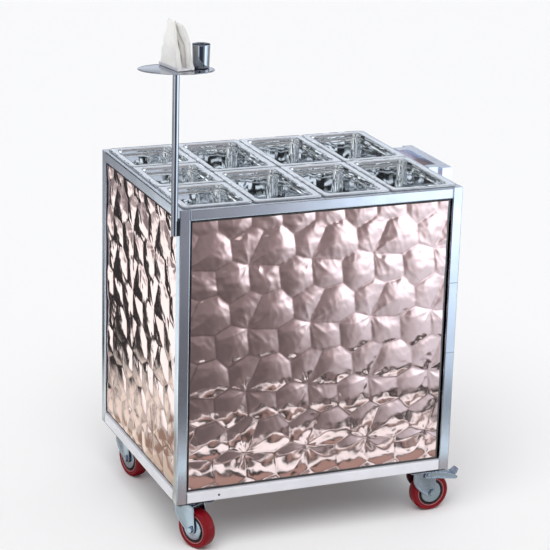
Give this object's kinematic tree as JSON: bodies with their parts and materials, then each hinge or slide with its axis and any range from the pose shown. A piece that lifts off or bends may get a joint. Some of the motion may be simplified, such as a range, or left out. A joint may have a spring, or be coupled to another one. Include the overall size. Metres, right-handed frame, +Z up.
{
  "type": "snack trolley",
  "caption": "Square-tube steel trolley on swivel casters with embossed mirror panels, lift-out food pans in its top, back doors, a push handle, and a pole with a napkin and cup tray.",
  "frame": {"origin": "on the floor, under the middle of the bounding box of the whole trolley", "axes": "+Z up, -Y out of the front panel, +X towards the side with the push handle"},
  "size_m": [0.8252, 0.617, 1.2179],
  "materials": {
    "frame_steel": "satin, welded square tube",
    "handle_steel": "bright satin square tube",
    "deck_steel": "plain mill finish sheet",
    "front_panel_sheet": "rose-gold mirror sheet, embossed",
    "side_panel_sheet": "rose-gold mirror sheet, embossed",
    "door_sheet": "rose-gold mirror sheet, embossed",
    "pan_steel": "polished, drawn sheet",
    "pole_steel": "polished tube",
    "bracket_steel": "satin block",
    "tray_steel": "polished plate",
    "holder_steel": "polished bent sheet",
    "napkin_paper": "white crinkled paper, folded",
    "cup_steel": "polished spun cup",
    "plate_zinc": "bright zinc plate, pressed",
    "fork_zinc": "bright zinc plate, pressed",
    "axle_zinc": "bright zinc plate",
    "pedal_zinc": "bright zinc plate, pressed",
    "wheel_core": "moulded, black",
    "red_tyre": "crimson, slightly glossy tread"
  },
  "bodies": {
    "cabinet": {"post_front_left": "frame_steel", "post_front_right": "frame_steel", "post_back_left": "frame_steel", "post_back_right": "frame_steel", "top_rail_front": "frame_steel", "top_rail_back": "frame_steel", "top_rail_left": "frame_steel", "top_rail_right": "frame_steel", "bottom_rail_front": "frame_steel", "bottom_rail_back": "frame_steel", "bottom_rail_left": "frame_steel", "bottom_rail_right": "frame_steel", "pan_bar_1": "frame_steel", "pan_bar_2": "frame_steel", "pan_bar_3": "frame_steel", "storage_deck": "deck_steel", "front_panel": "front_panel_sheet", "left_panel": "side_panel_sheet", "right_panel": "side_panel_sheet", "push_handle": "handle_steel", "tray_pole": "pole_steel", "pole_bracket": "bracket_steel", "oval_tray": "tray_steel", "caster_plate_front_left": "plate_zinc", "caster_plate_front_right": "plate_zinc", "caster_plate_back_left": "plate_zinc", "caster_plate_back_right": "plate_zinc"},
    "left_door": {"door_left": "door_sheet"},
    "right_door": {"door_right": "door_sheet"},
    "small_pan_front_body": {"small_pan_front": "pan_steel"},
    "small_pan_middle_body": {"small_pan_middle": "pan_steel"},
    "small_pan_back_body": {"small_pan_back": "pan_steel"},
    "long_pan_front_1_body": {"long_pan_front_1": "pan_steel"},
    "long_pan_back_1_body": {"long_pan_back_1": "pan_steel"},
    "long_pan_front_2_body": {"long_pan_front_2": "pan_steel"},
    "long_pan_back_2_body": {"long_pan_back_2": "pan_steel"},
    "long_pan_front_3_body": {"long_pan_front_3": "pan_steel"},
    "long_pan_back_3_body": {"long_pan_back_3": "pan_steel"},
    "holder": {"napkin_holder": "holder_steel"},
    "left_napkins": {"napkins_left": "napkin_paper"},
    "right_napkins": {"napkins_right": "napkin_paper"},
    "cup": {"steel_cup": "cup_steel"},
    "swivel_front_left": {"caster_fork_front_left": "fork_zinc", "caster_axle_front_left": "axle_zinc"},
    "wheel_front_left": {"caster_core_front_left": "wheel_core", "caster_tyre_front_left": "red_tyre"},
    "swivel_front_right": {"caster_fork_front_right": "fork_zinc", "caster_axle_front_right": "axle_zinc"},
    "wheel_front_right": {"caster_core_front_right": "wheel_core", "caster_tyre_front_right": "red_tyre"},
    "pedal_front_right": {"brake_pedal_front_right": "pedal_zinc"},
    "swivel_back_left": {"caster_fork_back_left": "fork_zinc", "caster_axle_back_left": "axle_zinc"},
    "wheel_back_left": {"caster_core_back_left": "wheel_core", "caster_tyre_back_left": "red_tyre"},
    "swivel_back_right": {"caster_fork_back_right": "fork_zinc", "caster_axle_back_right": "axle_zinc"},
    "wheel_back_right": {"caster_core_back_right": "wheel_core", "caster_tyre_back_right": "red_tyre"},
    "pedal_back_right": {"brake_pedal_back_right": "pedal_zinc"}
  },
  "joints": [
    {"name": "left_door_hinge", "type": "hinge", "parent": "cabinet", "child": "left_door", "pos_m": [-0.29779, 0.30352, 0.466], "axis": [0, 0, 1], "range_deg": [0, 110]},
    {"name": "right_door_hinge", "type": "hinge", "parent": "cabinet", "child": "right_door", "pos_m": [0.33221, 0.30352, 0.466], "axis": [0, 0, -1], "range_deg": [0, 110]},
    {"name": "small_pan_front_lift", "type": "slide", "parent": "cabinet", "child": "small_pan_front_body", "axis": [0, 0, 1], "range_m": [0, 0.12]},
    {"name": "small_pan_middle_lift", "type": "slide", "parent": "cabinet", "child": "small_pan_middle_body", "axis": [0, 0, 1], "range_m": [0, 0.12]},
    {"name": "small_pan_back_lift", "type": "slide", "parent": "cabinet", "child": "small_pan_back_body", "axis": [0, 0, 1], "range_m": [0, 0.12]},
    {"name": "long_pan_front_1_lift", "type": "slide", "parent": "cabinet", "child": "long_pan_front_1_body", "axis": [0, 0, 1], "range_m": [0, 0.12]},
    {"name": "long_pan_back_1_lift", "type": "slide", "parent": "cabinet", "child": "long_pan_back_1_body", "axis": [0, 0, 1], "range_m": [0, 0.12]},
    {"name": "long_pan_front_2_lift", "type": "slide", "parent": "cabinet", "child": "long_pan_front_2_body", "axis": [0, 0, 1], "range_m": [0, 0.12]},
    {"name": "long_pan_back_2_lift", "type": "slide", "parent": "cabinet", "child": "long_pan_back_2_body", "axis": [0, 0, 1], "range_m": [0, 0.12]},
    {"name": "long_pan_front_3_lift", "type": "slide", "parent": "cabinet", "child": "long_pan_front_3_body", "axis": [0, 0, 1], "range_m": [0, 0.12]},
    {"name": "long_pan_back_3_lift", "type": "slide", "parent": "cabinet", "child": "long_pan_back_3_body", "axis": [0, 0, 1], "range_m": [0, 0.12]},
    {"name": "holder_lift", "type": "slide", "parent": "cabinet", "child": "holder", "axis": [0, 0, 1], "range_m": [0, 0.1]},
    {"name": "left_napkins_lift", "type": "slide", "parent": "holder", "child": "left_napkins", "axis": [0, 0, 1], "range_m": [0, 0.1]},
    {"name": "right_napkins_lift", "type": "slide", "parent": "holder", "child": "right_napkins", "axis": [0, 0, 1], "range_m": [0, 0.1]},
    {"name": "cup_lift", "type": "slide", "parent": "cabinet", "child": "cup", "axis": [0, 0, 1], "range_m": [0, 0.1]},
    {"name": "swivel_front_left_turn", "type": "hinge", "parent": "cabinet", "child": "swivel_front_left", "pos_m": [-0.27379, -0.20178, 0.112], "axis": [0, 0, 1], "continuous": true},
    {"name": "wheel_front_left_spin", "type": "hinge", "parent": "swivel_front_left", "child": "wheel_front_left", "pos_m": [-0.26151, -0.22694, 0.04677], "axis": [0.8988, 0.4384, 0], "continuous": true},
    {"name": "swivel_front_right_turn", "type": "hinge", "parent": "cabinet", "child": "swivel_front_right", "pos_m": [0.30821, -0.20178, 0.112], "axis": [0, 0, 1], "continuous": true},
    {"name": "wheel_front_right_spin", "type": "hinge", "parent": "swivel_front_right", "child": "wheel_front_right", "pos_m": [0.33617, -0.20031, 0.04677], "axis": [-0.0523, 0.9986, 0], "continuous": true},
    {"name": "pedal_front_right_press", "type": "hinge", "parent": "swivel_front_right", "child": "pedal_front_right", "pos_m": [0.32219, -0.20104, 0.095], "axis": [-0.0523, 0.9986, 0], "range_deg": [0, 10]},
    {"name": "swivel_back_left_turn", "type": "hinge", "parent": "cabinet", "child": "swivel_back_left", "pos_m": [-0.27379, 0.24222, 0.112], "axis": [0, 0, 1], "continuous": true},
    {"name": "wheel_back_left_spin", "type": "hinge", "parent": "swivel_back_left", "child": "wheel_back_left", "pos_m": [-0.26749, 0.21494, 0.04677], "axis": [0.9744, 0.225, 0], "continuous": true},
    {"name": "swivel_back_right_turn", "type": "hinge", "parent": "cabinet", "child": "swivel_back_right", "pos_m": [0.30821, 0.24222, 0.112], "axis": [0, 0, 1], "continuous": true},
    {"name": "wheel_back_right_spin", "type": "hinge", "parent": "swivel_back_right", "child": "wheel_back_right", "pos_m": [0.32221, 0.21798, 0.04677], "axis": [0.866, 0.5, 0], "continuous": true},
    {"name": "pedal_back_right_press", "type": "hinge", "parent": "swivel_back_right", "child": "pedal_back_right", "pos_m": [0.31521, 0.2301, 0.095], "axis": [0.866, 0.5, 0], "range_deg": [0, 10]}
  ]
}
